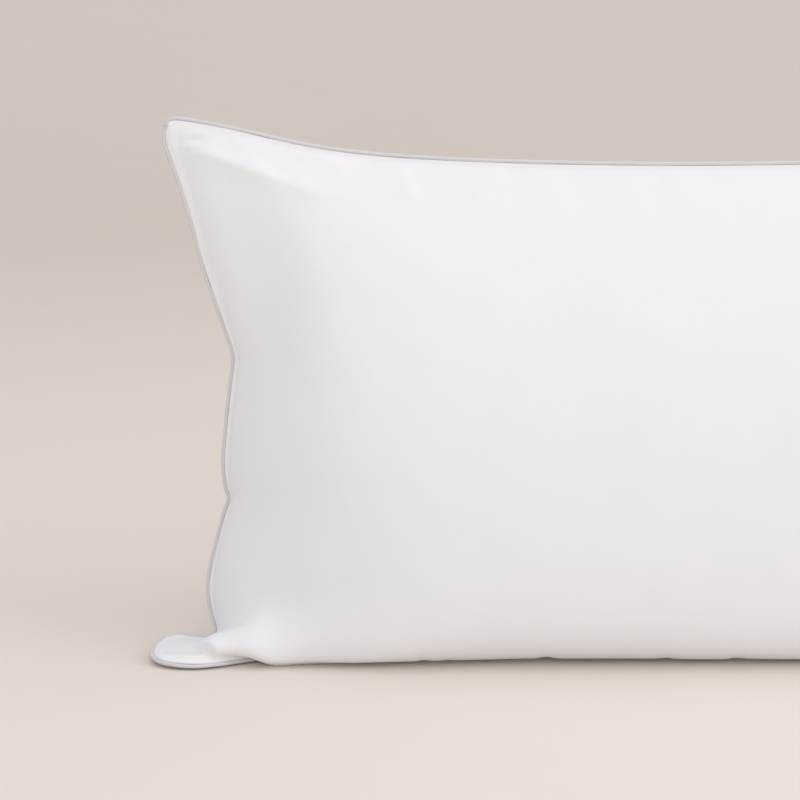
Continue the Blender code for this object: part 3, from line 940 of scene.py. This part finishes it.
def tube(name, path, radius, look, sides=6):
    """A round thread along a path of places, with closed ends."""
    tangent = unit(np.gradient(path, axis=0))
    across = unit(np.cross(tangent, np.array([0.31, 0.21, 0.93])))
    upward = np.cross(tangent, across)
    angles = np.arange(sides) / sides * math.tau
    cosines, sines = np.cos(angles)[None, :, None], np.sin(angles)[None, :, None]
    rings = path[:, None] + radius * (across[:, None] * cosines + upward[:, None] * sines)
    faces = strips(sides, len(path), False, True)
    along = distances(path)
    spots = np.stack(np.broadcast_arrays(along[:, None], (angles * radius)[None, :]), axis=-1)
    return make_closed(name, rings.reshape(-1, 3), faces, look, spots.reshape(-1, 2))


def stitch_line(seam, out, front, low):
    """A lockstitch thread: long floats on the surface that dip into the layers at each stitch."""
    count = round(seam.along[-1] / STITCH)
    shares = np.arange(count * 4) / (count * 4) * seam.along[-1]
    dips = np.tile([0.0, 0.75, 1.0, 0.75], count)
    height = low + (front - low) * dips

    def read(rows):
        closed = np.vstack([rows, rows[:1]])
        return np.stack([np.interp(shares, seam.along, column) for column in closed.T], axis=1)

    return read(seam.point) + read(seam.out) * out + read(seam.front) * height[:, None]


def read_at(grid, flat, x, z):
    """A grid's places at any spots of the flat panel, straight between its own places."""
    i = np.interp(x, flat[:, 0, 0], np.arange(flat.shape[0]))
    j = np.interp(z, flat[0, :, 1], np.arange(flat.shape[1]))
    low_i = np.minimum(i.astype(int), flat.shape[0] - 2)
    low_j = np.minimum(j.astype(int), flat.shape[1] - 2)
    s, t = (i - low_i)[..., None], (j - low_j)[..., None]
    low = grid[low_i, low_j] * (1 - s) + grid[low_i + 1, low_j] * s
    high = grid[low_i, low_j + 1] * (1 - s) + grid[low_i + 1, low_j + 1] * s
    return low * (1 - t) + high * t


def filling(name, front, back, flat, look):
    """The fibre mass inside the covers: lumpy, short of the ears, and grooved round its rim
    where the seam's allowances reach in."""
    a, b = np.meshgrid(*(np.linspace(-1, 1, cells + 1) for cells in FILL_CELLS), indexing="ij")
    x = (1 + a * np.sqrt(1 - FILL_ROUNDING * b**2)) / 2
    z = (1 + b * np.sqrt(1 - FILL_ROUNDING * a**2)) / 2
    x = FILL_RIM + x * (PANEL_LENGTH - 2 * FILL_RIM)
    z = FILL_RIM + z * (PANEL_HEIGHT - 2 * FILL_RIM)
    inside = []
    for face, side in ((front, 1), (back, -1)):
        lumps = FILL_LUMPS * (1 + rough(face * np.array([1, side, 1]), FILL_PITCH, 41))
        depth = np.minimum(FILL_SINK + lumps, FILL_SHARE * np.linalg.norm(front - back, axis=-1))
        sunk = face - normals(face, side) * depth[..., None]
        sunk[..., 2] = np.maximum(sunk[..., 2], (np.maximum(face[..., 2], 0) + FILL_SINK) / 2)
        inside.append(read_at(sunk, flat, x, z))
    across, tall = inside[0].shape[:2]
    around = ring(across - 1, tall - 1)
    middle = (inside[0] + inside[1]) / 2
    centre = middle.reshape(-1, 3).mean(axis=0)
    groove = [middle[corner] + unit(centre - middle[corner]) * FILL_GROOVE for corner in around]
    places = np.vstack([inside[0].reshape(-1, 3), inside[1].reshape(-1, 3), groove])
    total = across * tall
    faces = grid_quads(across - 1, tall - 1, lambda i, j: i * tall + j, False)
    faces += grid_quads(across - 1, tall - 1, lambda i, j: total + i * tall + j, True)
    numbers = [i * tall + j for i, j in around]
    for k, number in enumerate(numbers):
        after = (k + 1) % len(numbers)
        faces.append((number, numbers[after], 2 * total + after, 2 * total + k))
        faces.append((2 * total + k, 2 * total + after, total + numbers[after], total + number))
    return make_closed(name, places, faces, look)


# ---------- materials


class Look:
    """A node material, with short ways to add and join its nodes."""

    def __init__(self, name):
        self.material = bpy.data.materials.new(name)
        self.material.use_nodes = True
        self.tree = self.material.node_tree
        self.shader = self.tree.nodes["Principled BSDF"]

    def give(self, node, inputs):
        """Joins each input to a socket, or sets it to a value."""
        for key, value in inputs.items():
            if isinstance(value, bpy.types.NodeSocket):
                self.tree.links.new(value, node.inputs[key])
            else:
                node.inputs[key].default_value = value

    def node(self, kind, inputs=None, **settings):
        made = self.tree.nodes.new(kind)
        for key, value in settings.items():
            setattr(made, key, value)
        self.give(made, inputs or {})
        return made

    def mapped(self, where, scale, turn=0.0):
        inputs = {"Vector": where, "Rotation": (0, 0, turn), "Scale": scale}
        return self.node("ShaderNodeMapping", inputs).outputs[0]

    def math(self, operation, a, b, c=0.5):
        return self.node("ShaderNodeMath", {0: a, 1: b, 2: c}, operation=operation).outputs[0]

    def noise(self, where, scale, detail=2.0):
        made = self.node("ShaderNodeTexNoise", {"Vector": where, "Scale": scale, "Detail": detail})
        return made.outputs["Fac"]

    def mix(self, factor, a, b):
        made = self.node("ShaderNodeMix", {0: factor, 6: a, 7: b}, data_type="RGBA")
        return made.outputs[2]

    def bump(self, height, distance, normal=None, strength=1.0):
        inputs = {"Height": height, "Distance": distance, "Strength": strength}
        if normal is not None:
            inputs["Normal"] = normal
        return self.node("ShaderNodeBump", inputs).outputs["Normal"]

    def set(self, **values):
        self.give(self.shader, {key.replace("_", " "): value for key, value in values.items()})

    def ridges(self, where, pitch, turn=0.0):
        """Even ridges from 0 to 1 across where's first axis, turned by an angle."""
        turned = self.mapped(where, (1, 1, 1), turn)
        first = self.node("ShaderNodeSeparateXYZ", {0: turned}).outputs[0]
        wave = self.math("SINE", self.math("MULTIPLY", first, math.tau / pitch), 0.0)
        return self.math("MULTIPLY_ADD", wave, 0.5)


def cotton_look():
    """White percale: a fine over-and-under weave, faintly uneven, matt with a soft sheen."""
    look = Look("white_percale")
    cut = look.node("ShaderNodeUVMap", uv_map="cut").outputs["UV"]
    place = look.node("ShaderNodeTexCoord").outputs["Object"]
    warp = look.ridges(cut, WARP_PITCH)
    weft = look.ridges(cut, WEFT_PITCH, math.radians(90))
    weave = look.math("MULTIPLY", warp, weft)
    slubs = look.noise(look.mapped(cut, (1, 9, 1)), 260.0, 3.0)
    clouds = look.noise(place, 16.0, 4.0)
    tint = look.mix(clouds, (0.800, 0.803, 0.825, 1), (0.835, 0.835, 0.848, 1))
    threads = look.mix(look.math("MULTIPLY", slubs, 0.30), tint, (0.76, 0.76, 0.785, 1))
    look.set(
        Base_Color=threads,
        Roughness=look.math("MULTIPLY_ADD", slubs, 0.10, 0.74),
        Sheen_Weight=0.18,
        Sheen_Roughness=0.45,
        Specular_IOR_Level=0.28,
    )
    rumple = look.bump(look.noise(place, 95.0, 3.0), 0.00022)
    look.set(Normal=look.bump(weave, 0.00006, rumple, 0.55))
    return look.material


def piping_look():
    """Light grey cotton sateen cut on the bias: fine ribs run across it at 45 degrees."""
    look = Look("grey_bias_sateen")
    cut = look.node("ShaderNodeUVMap", uv_map="cut").outputs["UV"]
    ribs = look.ridges(cut, RIB_PITCH, math.radians(45))
    drag = look.noise(look.mapped(cut, (1, 3, 1), 0.6), 420.0)
    tint = look.mix(drag, (0.60, 0.595, 0.61, 1), (0.70, 0.695, 0.71, 1))
    look.set(Base_Color=tint, Roughness=0.52, Sheen_Weight=0.2, Specular_IOR_Level=0.4)
    look.set(Normal=look.bump(ribs, 0.00008, look.bump(drag, 0.00030)))
    return look.material


def strand_look(name, colour, pitch, roughness):
    """Twisted yarn: slanting plies along the strand, with painted shade in the grooves between
    them.
    """
    look = Look(name)
    cut = look.node("ShaderNodeUVMap", uv_map="cut").outputs["UV"]
    plies = look.ridges(cut, pitch, math.radians(35))
    # Painted shade: a darker copy of the colour, laid in the grooves between the plies where the
    # bump is lowest
    ply_groove_shade = tuple(part * 0.8 for part in colour) + (1,)
    look.set(Base_Color=look.mix(plies, ply_groove_shade, (*colour, 1)), Roughness=roughness)
    look.set(Normal=look.bump(plies, pitch * 0.3))
    return look.material


def fibre_look():
    """Loose polyester fibre: bright, fuzzy and streaky."""
    look = Look("white_fibre")
    place = look.node("ShaderNodeTexCoord").outputs["Object"]
    streaks = look.noise(look.mapped(place, (1, 4, 7)), 240.0, 6.0)
    clumps = look.noise(place, 60.0, 4.0)
    look.set(
        Base_Color=look.mix(clumps, (0.80, 0.80, 0.79, 1), (0.92, 0.92, 0.91, 1)),
        Roughness=1.0,
        Sheen_Weight=0.5,
        Normal=look.bump(streaks, 0.0012, look.bump(clumps, 0.002)),
    )
    return look.material


# ---------- the pillow

coarse_seam = Seam(even(CELLS_ALONG), even(CELLS_UP))
front_face, back_face = start_shape(coarse_seam)
started = front_face.copy(), back_face.copy()
front_face, back_face = simulate(front_face, back_face, coarse_seam)
front_face = smoothed(capped(front_face, started[0], MOST_MOVE), SMOOTHING)
back_face = smoothed(capped(back_face, started[1], MOST_MOVE), SMOOTHING)

shares = crowded(FINE_ALONG, CROWDING), crowded(FINE_UP, CROWDING)
flat_x, flat_z = np.meshgrid(shares[0] * PANEL_LENGTH, shares[1] * PANEL_HEIGHT, indexing="ij")
flat = np.stack([flat_x, flat_z], axis=-1)
edge = np.minimum(
    np.minimum(flat_x, PANEL_LENGTH - flat_x), np.minimum(flat_z, PANEL_HEIGHT - flat_z)
)
front_face = shaped(finer(front_face, *shares), 1, flat, edge)
back_face = shaped(finer(back_face, *shares), -1, flat, edge)
front_face = parted(front_face, back_face, edge)
fine_seam = Seam(*shares)
piping_seam = Seam(even(PIPING_ALONG), even(PIPING_UP))
cotton = cotton_look()
white_thread = strand_look("white_sewing_thread", (0.86, 0.86, 0.86), THREAD_PITCH, 0.6)


def keep(piece, slot, *nodes):
    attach(piece, "root")
    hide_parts(*nodes)


front_cover = cover_panel("front_cover", front_face, 1, fine_seam, flat, edge, cotton)
back_cover = cover_panel("back_cover", back_face, -1, fine_seam, flat, edge, cotton)
keep(front_cover, "panel_cotton", "front_panel")
keep(back_cover, "panel_cotton", "back_panel")

drift = piping_wobble(piping_seam, PIPING_DRIFT)
strip = swept("piping_cover", piping_section(), piping_seam, piping_look(), drift)
keep(strip, "piping_cotton", "piping_strip")
cord_section = arc(CORD_RADIUS, 0, 324, 10)
cord_look = strand_look("cotton_cord", (0.80, 0.77, 0.70), CORD_PITCH, 0.9)
keep(swept("cord_core", cord_section, piping_seam, cord_look, drift), "cord_cotton", "piping_cord")

fill = filling("fibre_fill", front_face, back_face, flat, fibre_look())
keep(fill, "fibre", "fibre_filling")

for name, side in (("needle", 1), ("bobbin", -1)):
    line = stitch_line(piping_seam, -STITCH_IN, side * STITCH_TOP, side * STITCH_LOW)
    stitches = tube(name + "_stitches", line, THREAD_RADIUS, white_thread)
    keep(stitches, "sewing_thread", name + "_thread")

# The closing seam lies along the right side, where the CAD model has it
low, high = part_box("closing_thread")
stations = PIPING_UP + PIPING_ALONG + np.arange(PIPING_UP)
heights = piping_seam.point[stations, 2]
stations = stations[(heights > low[2]) & (heights < high[2])]
zigzag = []
for k, station in enumerate(stations):
    out, front = CLOSING_ZIGZAG[k % 2]
    zigzag.append(piping_seam.at(out, front)[station])
closing = tube("closing_stitches", np.array(zigzag), THREAD_RADIUS, white_thread)
keep(closing, "sewing_thread", "closing_thread")


# ---------- floor, light and camera


def stage():
    """A pale floor that curves up into a far, warm backdrop."""
    look = Look("stage_paper")
    place = look.node("ShaderNodeTexCoord").outputs["Object"]
    grain = look.noise(place, 3.0, 3.0)
    look.set(Base_Color=look.mix(grain, PAPER_DARK, PAPER_LIGHT), Roughness=0.9)
    curve_from = STAGE_FAR - STAGE_CURVE
    outline = [(STAGE_NEAR, 0.0), (curve_from, 0.0)]
    outline += [
        (curve_from + STAGE_CURVE * math.sin(a), STAGE_CURVE - STAGE_CURVE * math.cos(a))
        for a in np.radians(np.arange(6, 91, 6))
    ]
    outline.append((STAGE_FAR, STAGE_TALL))
    places = [(x, y, z) for x in (-STAGE_SIDE, STAGE_SIDE) for y, z in outline]
    count = len(outline)
    faces = [(k, k + count, k + 1 + count, k + 1) for k in range(count - 1)]
    make_piece("backdrop", places, faces, look.material)


def light(name, place, size, power, colour):
    lamp = bpy.data.lights.new(name, "AREA")
    lamp.shape = "DISK"
    lamp.size = size
    lamp.energy = power
    lamp.color = colour
    holder = bpy.data.objects.new(name, lamp)
    holder.location = place
    facing = Vector(LAMPS_FACE) - Vector(place)
    holder.rotation_euler = facing.to_track_quat("-Z", "Y").to_euler()
    bpy.context.scene.collection.objects.link(holder)


def studio():
    for lamp in LAMPS:
        light(*lamp)
    world = bpy.data.worlds.new("studio")
    world.use_nodes = True
    sky = world.node_tree.nodes["Background"].inputs
    sky["Color"].default_value = SKY_COLOUR
    sky["Strength"].default_value = SKY_STRENGTH
    bpy.context.scene.world = world
    bpy.context.scene.view_settings.view_transform = "Standard"


def camera():
    """From a little above the front, on the left half, so the right end is out of the view."""
    lens = bpy.data.cameras.new("camera")
    lens.lens = LENS
    holder = bpy.data.objects.new("camera", lens)
    target = Vector(CAMERA_TARGET)
    back = Vector((0, -math.cos(CAMERA_TILT), math.sin(CAMERA_TILT)))
    holder.location = target + back * CAMERA_DISTANCE
    holder.rotation_euler = (target - holder.location).to_track_quat("-Z", "Y").to_euler()
    bpy.context.scene.collection.objects.link(holder)
    bpy.context.scene.camera = holder


stage()
studio()
camera()
